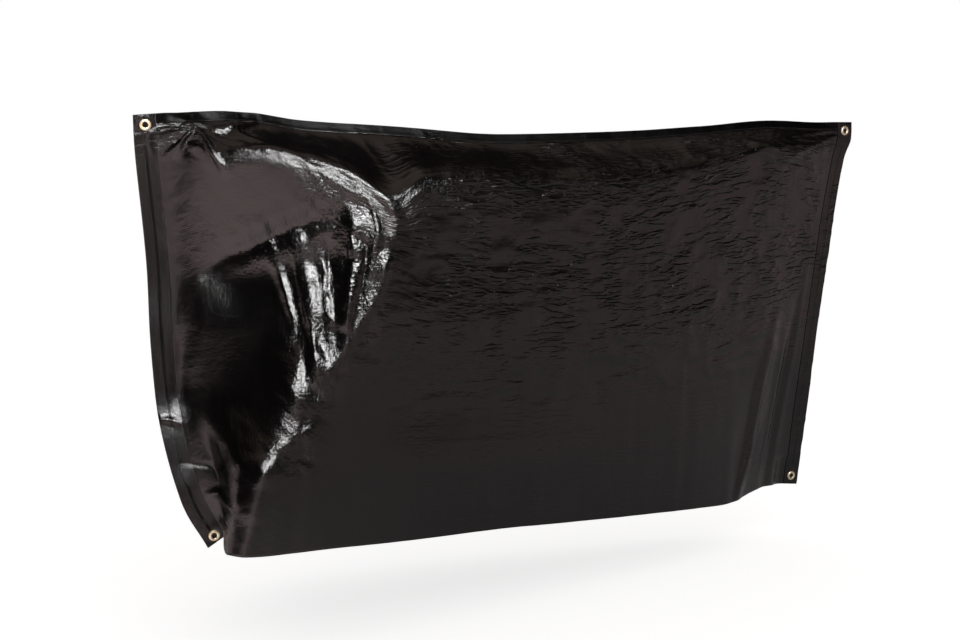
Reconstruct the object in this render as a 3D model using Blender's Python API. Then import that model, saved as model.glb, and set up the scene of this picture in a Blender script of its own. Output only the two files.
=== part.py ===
"""Bicycle cover in black woven plastic cloth, standing open as it drapes over a parked bicycle.

The cover is a flat bag of two panels, closed along its top and both ends and open below. Each closed
side ends in a sewn seam band, and the two end bands hold a brass eyelet at each of their corners.
Metres, +Z up. +X runs along the cover to its rear end and -Y is the near side. The origin lies under
the top, midway along, where the bicycle holds the cover up.

A place on the cloth is named by two shares: "along" runs from the front edge (0) to the rear edge (1),
and "down" runs from the top (0) to the hem (1).
"""

import bmesh
import bpy
import numpy as np
from mathutils import Matrix

# The flat cover.
COVER_LENGTH = 2.00
COVER_HEIGHT = 1.02
CLOTH = 0.0012
END_BAND = 0.050
TOP_BAND = 0.025
GAP = 0.0006

# Brass eyelets: a collar pressed through the end band, and the washer that it is spread over.
EYELET_INSET = 0.026
EYELET_HOLE_RADIUS = 0.0060
EYELET_METAL = 0.0006
FLANGE_RADIUS = 0.0125
FLANGE_HEIGHT = 0.0012
RIM_INNER_RADIUS = 0.0078
RIM_OUTER_RADIUS = 0.0110
WASHER_HOLE_RADIUS = 0.0074
WASHER_THICKNESS = 0.0008
LIP_RADIUS = 0.0084
EYELET_SIDES = 16
FLAT_AROUND_EYELET = 0.050

# Rows of the cloth's grid: a finer one in front, where the handlebar and front wheel shape it.
FRONT_STRETCH = 0.35
CELLS_IN_FRONT = 22
CELLS_BEHIND = 20
CELLS_DOWN = 17
BAND_CELLS = 2

BAND_THICKNESS = 2 * CLOTH + GAP
END_BAND_SHARE = END_BAND / COVER_LENGTH
TOP_BAND_SHARE = TOP_BAND / COVER_HEIGHT
FLAT_SHARE = FLAT_AROUND_EYELET / COVER_HEIGHT
HALF_GAP_ALONG = GAP / 2 / COVER_LENGTH
HALF_GAP_DOWN = GAP / 2 / COVER_HEIGHT
NORMAL_STEP = 0.002
# The top band leans this far to the near side, where most of the cloth hangs.
TOP_LEAN = np.radians(24)

COLUMNS = [(name, float) for name in ("along", "x", "y", "z")]

# The near panel's outer face: seven lines from front to rear, with a row for each section that shapes it.
NEAR_LINES = {
    "top": [
        # along, x, y, z
        (0.000, -0.976, -0.030, 0.086),
        (0.050, -0.878, -0.030, 0.092),
        (0.085, -0.812, -0.018, 0.094),
        (0.140, -0.702, -0.006, 0.090),
        (0.200, -0.584, 0.000, 0.074),
        (0.320, -0.345, 0.000, 0.058),
        (0.460, -0.070, 0.000, 0.038),
        (0.600, 0.212, 0.000, 0.042),
        (0.750, 0.512, 0.000, 0.054),
        (0.865, 0.735, 0.000, 0.068),
        (0.940, 0.885, 0.000, 0.064),
        (1.000, 1.003, 0.000, 0.063),
    ],
    "shoulder": [
        # along, x, y, z
        (0.000, -0.973, -0.032, 0.000),
        (0.025, -0.924, -0.034, 0.002),
        (0.055, -0.870, -0.048, 0.020),
        (0.075, -0.845, -0.066, 0.030),
        (0.100, -0.800, -0.105, -0.004),
        (0.150, -0.710, -0.140, -0.006),
        (0.200, -0.615, -0.165, -0.016),
        (0.250, -0.520, -0.190, -0.049),
        (0.290, -0.440, -0.225, -0.100),
        (0.330, -0.352, -0.205, -0.064),
        (0.400, -0.208, -0.185, -0.066),
        (0.500, 0.010, -0.155, -0.078),
        (0.600, 0.196, -0.135, -0.078),
        (0.730, 0.449, -0.100, -0.053),
        (0.810, 0.592, -0.075, -0.033),
        (0.880, 0.730, -0.058, -0.022),
        (0.925, 0.832, -0.034, -0.034),
        (0.975, 0.938, -0.006, -0.050),
        (1.000, 0.984, 0.000, -0.050),
    ],
    "chest": [
        # along, x, y, z
        (0.000, -0.961, -0.060, -0.260),
        (0.025, -0.911, -0.060, -0.260),
        (0.060, -0.850, -0.078, -0.250),
        (0.085, -0.805, -0.094, -0.244),
        (0.120, -0.745, -0.127, -0.240),
        (0.200, -0.600, -0.194, -0.230),
        (0.275, -0.463, -0.243, -0.222),
        (0.340, -0.345, -0.225, -0.260),
        (0.460, -0.110, -0.195, -0.280),
        (0.600, 0.160, -0.155, -0.290),
        (0.750, 0.450, -0.105, -0.280),
        (0.880, 0.705, -0.050, -0.270),
        (0.975, 0.900, -0.005, -0.270),
        (1.000, 0.948, 0.000, -0.270),
    ],
    "girth": [
        # along, x, y, z
        (0.000, -0.965, -0.090, -0.408),
        (0.025, -0.915, -0.090, -0.405),
        (0.060, -0.852, -0.117, -0.398),
        (0.120, -0.748, -0.168, -0.383),
        (0.185, -0.646, -0.228, -0.372),
        (0.240, -0.556, -0.265, -0.370),
        (0.275, -0.490, -0.268, -0.378),
        (0.350, -0.345, -0.244, -0.400),
        (0.470, -0.105, -0.208, -0.418),
        (0.600, 0.145, -0.167, -0.430),
        (0.750, 0.436, -0.112, -0.425),
        (0.880, 0.688, -0.054, -0.415),
        (0.975, 0.884, -0.003, -0.410),
        (1.000, 0.930, 0.002, -0.408),
    ],
    "waist": [
        # along, x, y, z
        (0.000, -0.962, -0.120, -0.550),
        (0.025, -0.912, -0.120, -0.545),
        (0.070, -0.850, -0.150, -0.530),
        (0.120, -0.780, -0.200, -0.520),
        (0.180, -0.695, -0.290, -0.515),
        (0.230, -0.600, -0.292, -0.525),
        (0.340, -0.385, -0.255, -0.545),
        (0.460, -0.150, -0.220, -0.560),
        (0.600, 0.120, -0.175, -0.570),
        (0.750, 0.410, -0.120, -0.570),
        (0.880, 0.665, -0.060, -0.560),
        (0.975, 0.868, 0.000, -0.550),
        (1.000, 0.914, 0.005, -0.545),
    ],
    "low": [
        # along, x, y, z
        (0.000, -0.931, -0.187, -0.745),
        (0.025, -0.887, -0.184, -0.722),
        (0.050, -0.848, -0.196, -0.705),
        (0.075, -0.846, -0.245, -0.695),
        (0.105, -0.833, -0.305, -0.687),
        (0.135, -0.785, -0.338, -0.680),
        (0.180, -0.700, -0.325, -0.690),
        (0.340, -0.410, -0.280, -0.720),
        (0.600, 0.100, -0.190, -0.760),
        (0.820, 0.540, -0.095, -0.780),
        (0.900, 0.690, -0.040, -0.770),
        (0.975, 0.846, 0.010, -0.760),
        (1.000, 0.894, 0.012, -0.760),
    ],
    "hem": [
        # along, x, y, z
        (0.000, -0.877, -0.200, -0.857),
        (0.025, -0.836, -0.203, -0.834),
        (0.034, -0.824, -0.212, -0.828),
        (0.046, -0.834, -0.235, -0.826),
        (0.070, -0.860, -0.270, -0.829),
        (0.098, -0.869, -0.322, -0.838),
        (0.112, -0.862, -0.346, -0.836),
        (0.126, -0.838, -0.360, -0.839),
        (0.150, -0.788, -0.350, -0.846),
        (0.224, -0.636, -0.320, -0.857),
        (0.315, -0.459, -0.290, -0.871),
        (0.456, -0.184, -0.240, -0.888),
        (0.555, 0.007, -0.205, -0.905),
        (0.647, 0.186, -0.170, -0.921),
        (0.787, 0.458, -0.120, -0.942),
        (0.845, 0.570, -0.090, -0.950),
        (0.928, 0.731, -0.020, -0.939),
        (0.964, 0.803, 0.002, -0.945),
        (1.000, 0.872, 0.020, -0.953),
    ],
}

# The far panel's outer face, which hangs more plainly over the far ends of the handlebar and the wheel.
FAR_LINES = {
    "top": NEAR_LINES["top"],
    "shoulder": [
        # along, x, y, z
        (0.000, -0.973, -0.032, 0.000),
        (0.050, -0.880, 0.027, 0.022),
        (0.090, -0.815, 0.088, 0.020),
        (0.160, -0.680, 0.100, -0.012),
        (0.300, -0.405, 0.106, -0.040),
        (0.500, -0.002, 0.115, -0.060),
        (0.600, 0.200, 0.125, -0.066),
        (0.730, 0.455, 0.095, -0.050),
        (0.880, 0.745, 0.043, -0.040),
        (1.000, 0.984, 0.000, -0.050),
    ],
    "chest": [
        # along, x, y, z
        (0.000, -0.961, -0.060, -0.260),
        (0.050, -0.872, -0.002, -0.245),
        (0.100, -0.785, 0.082, -0.225),
        (0.180, -0.640, 0.132, -0.230),
        (0.340, -0.325, 0.135, -0.255),
        (0.600, 0.180, 0.145, -0.275),
        (0.750, 0.470, 0.107, -0.275),
        (0.880, 0.722, 0.057, -0.270),
        (1.000, 0.948, 0.000, -0.270),
    ],
    "waist": [
        # along, x, y, z
        (0.000, -0.962, -0.120, -0.550),
        (0.050, -0.880, -0.074, -0.540),
        (0.110, -0.810, 0.027, -0.527),
        (0.190, -0.690, 0.129, -0.522),
        (0.300, -0.475, 0.152, -0.530),
        (0.480, -0.115, 0.167, -0.550),
        (0.620, 0.165, 0.147, -0.560),
        (0.800, 0.520, 0.095, -0.560),
        (1.000, 0.914, 0.005, -0.545),
    ],
    "low": [
        # along, x, y, z
        (0.000, -0.931, -0.187, -0.745),
        (0.050, -0.834, -0.152, -0.710),
        (0.120, -0.788, -0.020, -0.695),
        (0.190, -0.722, 0.106, -0.698),
        (0.250, -0.618, 0.162, -0.707),
        (0.330, -0.461, 0.173, -0.722),
        (0.480, -0.164, 0.169, -0.745),
        (0.620, 0.115, 0.147, -0.765),
        (0.820, 0.530, 0.085, -0.780),
        (1.000, 0.894, 0.012, -0.760),
    ],
    "hem": [
        # along, x, y, z
        (0.000, -0.877, -0.200, -0.857),
        (0.025, -0.836, -0.203, -0.836),
        (0.040, -0.806, -0.178, -0.838),
        (0.060, -0.796, -0.148, -0.840),
        (0.120, -0.768, -0.028, -0.842),
        (0.190, -0.728, 0.110, -0.850),
        (0.240, -0.660, 0.172, -0.858),
        (0.300, -0.545, 0.188, -0.866),
        (0.400, -0.348, 0.165, -0.882),
        (0.500, -0.152, 0.176, -0.898),
        (0.640, 0.130, 0.132, -0.920),
        (0.780, 0.415, 0.106, -0.942),
        (0.900, 0.665, 0.044, -0.944),
        (1.000, 0.872, 0.020, -0.953),
    ],
}

# Share of the height at which each line runs. The fin is the top band's lower edge.
DOWN_OF_LINE = {
    "top": 0.0,
    "fin": TOP_BAND_SHARE,
    "shoulder": 0.17,
    "chest": 0.36,
    "girth": 0.485,
    "waist": 0.61,
    "low": 0.80,
    "hem": 1.0,
}

# Soft folds of the near panel. Each runs straight on the cloth between two places.
FOLD_COLUMNS = "start_along start_down end_along end_down half_width height".split()
NEAR_FOLDS = [
    # start_along, start_down, end_along, end_down, half_width, height
    (0.170, 0.30, 0.204, 0.60, 0.028, 0.010),
    (0.240, 0.25, 0.231, 0.54, 0.024, 0.009),
    (0.205, 0.30, 0.220, 0.52, 0.018, -0.006),
    (0.140, 0.32, 0.168, 0.50, 0.020, 0.005),
    (0.045, 0.20, 0.075, 0.07, 0.016, 0.007),
    (0.072, 0.07, 0.101, 0.21, 0.016, 0.006),
    (0.050, 0.37, 0.250, 0.26, 0.034, -0.008),
    (0.916, 0.50, 0.858, 1.06, 0.030, 0.012),
    (0.955, 0.46, 0.925, 1.06, 0.028, -0.008),
]

# Share at which the far panel has left the seams and follows its own lines.
FAR_FREE_ALONG = 0.035
FAR_FREE_DOWN = 0.04

EYELET_PLACES = {
    "front_top": (EYELET_INSET / COVER_LENGTH, EYELET_INSET / COVER_HEIGHT),
    "front_low": (EYELET_INSET / COVER_LENGTH, 1 - EYELET_INSET / COVER_HEIGHT),
    "rear_top": (1 - EYELET_INSET / COVER_LENGTH, EYELET_INSET / COVER_HEIGHT),
    "rear_low": (1 - EYELET_INSET / COVER_LENGTH, 1 - EYELET_INSET / COVER_HEIGHT),
}


def clear_scene():
    for obj in list(bpy.data.objects):
        bpy.data.objects.remove(obj)


def make_material(name, colour, roughness, metallic=0.0):
    material = bpy.data.materials.new(name)
    material.use_nodes = True
    shader = material.node_tree.nodes["Principled BSDF"]
    shader.inputs["Base Color"].default_value = (*colour, 1.0)
    shader.inputs["Roughness"].default_value = roughness
    shader.inputs["Metallic"].default_value = metallic
    return material


def smoothstep(value):
    value = np.clip(value, 0, 1)
    return value * value * (3 - 2 * value)


def smooth_through(knots, values, at):
    """Monotone cubic through values at knots: each slope is the harmonic mean of its two neighbours."""
    knots = np.asarray(knots, float)
    values = np.asarray(values, float)
    column = (-1, *[1] * (values.ndim - 1))
    step = np.diff(knots)
    slope = np.diff(values, axis=0) / step.reshape(column)
    before, after = slope[:-1], slope[1:]
    same_way = before * after > 0
    mean = np.where(same_way, 2 * before * after / np.where(same_way, before + after, 1), 0)
    tangent = np.concatenate([slope[:1], mean, slope[-1:]])
    at = np.clip(np.asarray(at, float), knots[0], knots[-1])
    cell = np.clip(np.searchsorted(knots, at, side="right") - 1, 0, len(step) - 1)
    width = step[cell].reshape(column)
    t = ((at - knots[cell]) / step[cell]).reshape(column)
    start = values[cell] * (1 + 2 * t) * (1 - t) ** 2 + tangent[cell] * width * t * (1 - t) ** 2
    end = values[cell + 1] * t**2 * (3 - 2 * t) + tangent[cell + 1] * width * t**2 * (t - 1)
    return start + end


def loft(lines, along, down):
    """The smooth surface through these lines: an array of len(along) x len(down) points."""
    found = {}
    for name, rows in lines.items():
        table = np.array(rows, dtype=COLUMNS)
        places = np.stack([table["x"], table["y"], table["z"]], axis=1)
        found[name] = smooth_through(table["along"], places, along)
    found["fin"] = found["top"] + TOP_BAND * np.array([0, -np.sin(TOP_LEAN), -np.cos(TOP_LEAN)])
    names = sorted(found, key=DOWN_OF_LINE.get)
    knots = [DOWN_OF_LINE[name] for name in names]
    return smooth_through(knots, np.stack([found[name] for name in names]), down).transpose(1, 0, 2)


def inward_normals(surface, along, down):
    """Unit normals of a surface at each grid point, pointing to the far side."""
    along = np.clip(along, NORMAL_STEP, 1 - NORMAL_STEP)
    down = np.clip(down, NORMAL_STEP, 1 - NORMAL_STEP)
    across = surface(along + NORMAL_STEP, down) - surface(along - NORMAL_STEP, down)
    downward = surface(along, down + NORMAL_STEP) - surface(along, down - NORMAL_STEP)
    normal = np.cross(across, downward)
    return normal / np.linalg.norm(normal, axis=2, keepdims=True)


def fold_heights(along, down):
    """How far the near panel's folds stand out, with a cosine crest that dies away at both ends."""
    total = np.zeros((len(along), len(down)))
    place = np.stack(np.meshgrid(along * COVER_LENGTH, down * COVER_HEIGHT, indexing="ij"), axis=-1)
    for row in NEAR_FOLDS:
        fold = dict(zip(FOLD_COLUMNS, row))
        start = np.array([fold["start_along"] * COVER_LENGTH, fold["start_down"] * COVER_HEIGHT])
        end = np.array([fold["end_along"] * COVER_LENGTH, fold["end_down"] * COVER_HEIGHT])
        run = np.linalg.norm(end - start)
        way = (end - start) / run
        share = (place - start) @ way / run
        aside = (place - start) @ np.array([-way[1], way[0]])
        crest = np.cos(np.pi / 2 * np.clip(aside / fold["half_width"], -1, 1)) ** 2
        total += fold["height"] * crest * np.sin(np.pi * np.clip(share, 0, 1))
    return total


def near_hang(along, down):
    return loft(NEAR_LINES, along, down)


def near_face(along, down):
    """The near panel's outer face, with its folds, and flat and upright around each eyelet."""
    points = near_hang(along, down)
    points -= fold_heights(along, down)[..., None] * inward_normals(near_hang, along, down)
    for place_along, place_down in EYELET_PLACES.values():
        centre = near_hang(np.array([place_along]), np.array([place_down]))[0, 0]
        from_end = np.abs(along - round(place_along)) / END_BAND_SHARE
        from_edge = np.abs(down - round(place_down)) / FLAT_SHARE
        flat = smoothstep(2.2 - from_end)[:, None] * smoothstep(2.2 - from_edge)[None, :]
        points[..., 1] += flat * (centre[1] - points[..., 1])
    return points


def far_face(along, down):
    """The far panel's outer face: it leaves the seam bands' backs and goes over to its own lines."""
    behind_near = near_face(along, down) + BAND_THICKNESS * inward_normals(near_face, along, down)
    own = loft(FAR_LINES, along, down) + [0, BAND_THICKNESS, 0]
    from_end = np.minimum(along, 1 - along) - END_BAND_SHARE - HALF_GAP_ALONG
    from_top = down - TOP_BAND_SHARE - HALF_GAP_DOWN
    free = smoothstep(from_end / FAR_FREE_ALONG)[:, None] * smoothstep(from_top / FAR_FREE_DOWN)[None, :]
    return behind_near + free[..., None] * (own - behind_near)


def new_object(name, mesh, material):
    obj = bpy.data.objects.new(name, mesh)
    mesh.materials.append(material)
    bpy.context.scene.collection.objects.link(obj)
    return obj


def sheet_object(name, outer, inner, material):
    """A closed sheet between two grids of points, with the same diagonal through both faces of a cell."""
    rows, columns = outer.shape[:2]
    index = np.arange(rows * columns).reshape(rows, columns)
    a, b, c, d = index[:-1, :-1], index[1:, :-1], index[1:, 1:], index[:-1, 1:]
    front = np.concatenate([np.stack([a, d, c], -1).reshape(-1, 3), np.stack([a, c, b], -1).reshape(-1, 3)])
    back = front[:, ::-1] + rows * columns
    rim = np.concatenate([index[:, 0], index[-1, 1:], index[-2::-1, -1], index[0, -2:0:-1]])
    after = np.roll(rim, -1)
    other, other_after = rim + rows * columns, after + rows * columns
    edge = np.concatenate([np.stack([rim, after, other_after], -1), np.stack([rim, other_after, other], -1)])
    mesh = bpy.data.meshes.new(name)
    points = np.concatenate([outer.reshape(-1, 3), inner.reshape(-1, 3)])
    mesh.from_pydata(points.tolist(), [], np.concatenate([front, back, edge]).tolist())
    shape = bmesh.new()
    shape.from_mesh(mesh)
    bmesh.ops.recalc_face_normals(shape, faces=shape.faces)
    shape.to_mesh(mesh)
    shape.free()
    mesh.shade_smooth()
    mesh.set_sharp_from_angle(angle=np.radians(50))
    return new_object(name, mesh, material)


def grid_lines():
    """The shares of the panels' grid lines, along and down, from seam to seam and from band to hem."""
    first, last = END_BAND_SHARE + HALF_GAP_ALONG, 1 - END_BAND_SHARE - HALF_GAP_ALONG
    in_front = np.linspace(first, FRONT_STRETCH, CELLS_IN_FRONT + 1)
    behind = np.linspace(FRONT_STRETCH, last, CELLS_BEHIND + 1)
    between_eyelets = np.linspace(FLAT_SHARE, 1 - FLAT_SHARE, CELLS_DOWN + 1)
    along = np.concatenate([in_front, behind[1:]])
    down = np.concatenate([[TOP_BAND_SHARE + HALF_GAP_DOWN], between_eyelets, [1.0]])
    return along, down


def make_near_panel(material):
    along, down = grid_lines()
    outer = near_face(along, down)
    inner = outer + CLOTH * inward_normals(near_face, along, down)
    return sheet_object("near_panel", outer, inner, material)


def make_far_panel(material):
    along, down = grid_lines()
    outer = far_face(along, down)
    inner = outer - CLOTH * inward_normals(far_face, along, down)
    return sheet_object("far_panel", outer, inner, material)


def make_band(name, along, down, material):
    """A seam band: both panels' turned edges sewn flat together."""
    outer = near_face(along, down)
    back = outer + BAND_THICKNESS * inward_normals(near_face, along, down)
    return sheet_object(name, outer, back, material)


def eyelet_centre(place):
    along, down = (np.array([share]) for share in EYELET_PLACES[place])
    return near_face(along, down)[0, 0]


def ring(name, profile, centre, material):
    """A ring turned round the Y axis from a closed profile of (radius, depth) points."""
    shape = bmesh.new()
    corners = [shape.verts.new((radius, depth, 0)) for radius, depth in profile]
    edges = [shape.edges.new((corners[i - 1], corners[i])) for i in range(len(corners))]
    bmesh.ops.spin(
        shape,
        geom=corners + edges,
        cent=(0, 0, 0),
        axis=(0, 1, 0),
        angle=2 * np.pi,
        steps=EYELET_SIDES,
        use_merge=True,
    )
    bmesh.ops.remove_doubles(shape, verts=shape.verts, dist=1e-6)
    bmesh.ops.recalc_face_normals(shape, faces=shape.faces)
    mesh = bpy.data.meshes.new(name)
    shape.to_mesh(mesh)
    shape.free()
    mesh.shade_smooth()
    mesh.set_sharp_from_angle(angle=np.radians(40))
    obj = new_object(name, mesh, material)
    obj.location = centre
    return obj


def make_eyelet(place, material):
    """The collar: a crowned flange in front, a barrel through the band, and a lip spread behind."""
    bore = EYELET_HOLE_RADIUS
    barrel = bore + EYELET_METAL
    flange_back = -GAP
    rim_front = flange_back - FLANGE_HEIGHT
    lip_front = BAND_THICKNESS + 2 * GAP + WASHER_THICKNESS
    lip_back = lip_front + EYELET_METAL
    profile = [
        (bore, rim_front + EYELET_METAL),
        ((bore + RIM_INNER_RADIUS) / 2, rim_front + EYELET_METAL / 4),
        (RIM_INNER_RADIUS, rim_front),
        (RIM_OUTER_RADIUS, rim_front),
        (FLANGE_RADIUS, flange_back - EYELET_METAL / 2),
        (FLANGE_RADIUS, flange_back),
        (barrel, flange_back),
        (barrel, lip_front),
        (LIP_RADIUS, lip_front),
        (LIP_RADIUS, lip_front + EYELET_METAL / 2),
        (barrel, lip_back),
        (bore, lip_back - EYELET_METAL / 2),
    ]
    return ring(f"eyelet_{place}", profile, eyelet_centre(place), material)


def make_washer(place, material):
    front = BAND_THICKNESS + GAP
    back = front + WASHER_THICKNESS
    profile = [
        (WASHER_HOLE_RADIUS, front),
        (FLANGE_RADIUS, front),
        (FLANGE_RADIUS, back - WASHER_THICKNESS / 2),
        (RIM_OUTER_RADIUS, back),
        (WASHER_HOLE_RADIUS, back),
    ]
    return ring(f"washer_{place}", profile, eyelet_centre(place), material)


def cut_eyelet_hole(band, place):
    """A round hole through the band, a gap wider than the collar's barrel."""
    cutter_mesh = bpy.data.meshes.new(f"hole_{place}")
    shape = bmesh.new()
    radius = (EYELET_HOLE_RADIUS + EYELET_METAL + GAP) / np.cos(np.pi / EYELET_SIDES)
    upright = Matrix.Rotation(np.radians(90), 4, "X")
    bmesh.ops.create_cone(
        shape,
        cap_ends=True,
        segments=EYELET_SIDES,
        radius1=radius,
        radius2=radius,
        depth=10 * BAND_THICKNESS,
        matrix=upright,
    )
    shape.to_mesh(cutter_mesh)
    shape.free()
    cutter = bpy.data.objects.new(f"hole_{place}", cutter_mesh)
    bpy.context.scene.collection.objects.link(cutter)
    cutter.location = eyelet_centre(place)
    cutter.hide_render = True
    cutter.display_type = "WIRE"
    cut = band.modifiers.new(f"hole_{place}", "BOOLEAN")
    cut.operation = "DIFFERENCE"
    cut.object = cutter


def build_cover():
    clear_scene()
    cloth = make_material("woven_cloth", (0.030, 0.027, 0.028), 0.38)
    seam = make_material("seam_cloth", (0.022, 0.020, 0.021), 0.42)
    brass = make_material("brass", (0.72, 0.56, 0.28), 0.30, metallic=1.0)
    make_near_panel(cloth)
    make_far_panel(cloth)
    panel_along, panel_down = grid_lines()
    band_down = np.concatenate([[0.0], panel_down])
    band_across = np.linspace(0, END_BAND_SHARE - HALF_GAP_ALONG, BAND_CELLS + 1)
    top_down = np.array([0.0, TOP_BAND_SHARE - HALF_GAP_DOWN])
    make_band("top_band", panel_along, top_down, seam)
    bands = {
        "front": make_band("front_band", band_across, band_down, seam),
        "rear": make_band("rear_band", 1 - band_across[::-1], band_down, seam),
    }
    for place in EYELET_PLACES:
        cut_eyelet_hole(bands[place.split("_")[0]], place)
        make_eyelet(place, brass)
        make_washer(place, brass)


build_cover()
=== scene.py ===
"""Bicycle cover in glossy black woven film: the looks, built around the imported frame.

Metres, +Z up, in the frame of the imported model: +X runs to the cover's rear end, -Y is the near side,
and the origin lies under the top, midway along. A place on the cloth is named by two shares: "along"
runs from the front edge (0) to the rear edge (1), and "down" from the top (0) to the hem (1).
"""

from __future__ import annotations

import logging
from collections.abc import Callable, Sequence
from dataclasses import dataclass, field, replace
from enum import Enum

import bpy
import numpy as np
from numpy.typing import NDArray
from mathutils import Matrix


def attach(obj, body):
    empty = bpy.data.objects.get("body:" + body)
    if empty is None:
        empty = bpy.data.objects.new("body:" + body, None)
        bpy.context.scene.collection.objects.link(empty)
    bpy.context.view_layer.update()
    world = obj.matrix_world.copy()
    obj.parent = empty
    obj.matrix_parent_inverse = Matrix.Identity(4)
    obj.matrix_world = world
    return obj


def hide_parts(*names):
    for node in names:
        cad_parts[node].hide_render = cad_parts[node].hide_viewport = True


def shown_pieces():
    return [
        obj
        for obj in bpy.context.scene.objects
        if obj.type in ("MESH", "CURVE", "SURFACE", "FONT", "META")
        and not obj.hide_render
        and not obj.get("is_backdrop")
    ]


Array = NDArray[np.float64]
Surface = Callable[[Array, Array], Array]
Place = tuple[float, float]
Colour = tuple[float, float, float]
Material = bpy.types.Material
Piece = bpy.types.Object
Socket = bpy.types.NodeSocket

LOG = logging.getLogger("bicycle_cover")

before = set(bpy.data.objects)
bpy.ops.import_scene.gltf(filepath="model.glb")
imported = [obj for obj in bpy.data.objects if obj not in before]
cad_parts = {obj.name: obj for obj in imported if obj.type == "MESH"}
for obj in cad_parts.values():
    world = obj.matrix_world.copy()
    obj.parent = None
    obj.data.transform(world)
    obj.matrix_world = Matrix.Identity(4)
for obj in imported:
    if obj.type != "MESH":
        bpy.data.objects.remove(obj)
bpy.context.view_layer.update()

# The flat cover, as it was cut.
COVER_LENGTH = 2.00
COVER_HEIGHT = 1.02
CLOTH = 0.0012
END_BAND = 0.050
TOP_BAND = 0.025
SEAM_GAP = 0.0006
BAND_THICKNESS = 2 * CLOTH + SEAM_GAP
END_SHARE = END_BAND / COVER_LENGTH
TOP_SHARE = TOP_BAND / COVER_HEIGHT
HALF_GAP_ALONG = SEAM_GAP / 2 / COVER_LENGTH
HALF_GAP_DOWN = SEAM_GAP / 2 / COVER_HEIGHT
EYELET_INSET = 0.026
# Half the thickness of the eyelets' metal, at which their edges turn.
HALF_EDGE = 0.0003
FLAT_SHARE = 0.050 / COVER_HEIGHT
NORMAL_STEP = 0.002
# The top band leans this far to the near side, where most of the cloth hangs.
TOP_LEAN = np.radians(24)
# Distances of the stitch rows from the outer edge.
OUTER_ROW = 0.0205
INNER_ROW = 0.0465
# Each seam band's turned edge: how wide it is, and how proud of the band it stands.
TURNED_EDGE = 0.024
TURNED_STEP = 0.0007
# How far the panels' edges run on inside the seam bands, and how deep they lie there.
TUCK = 0.003
TUCK_DEPTH = 0.0009

COLUMNS = [(name, float) for name in ("along", "x", "y", "z")]

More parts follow.
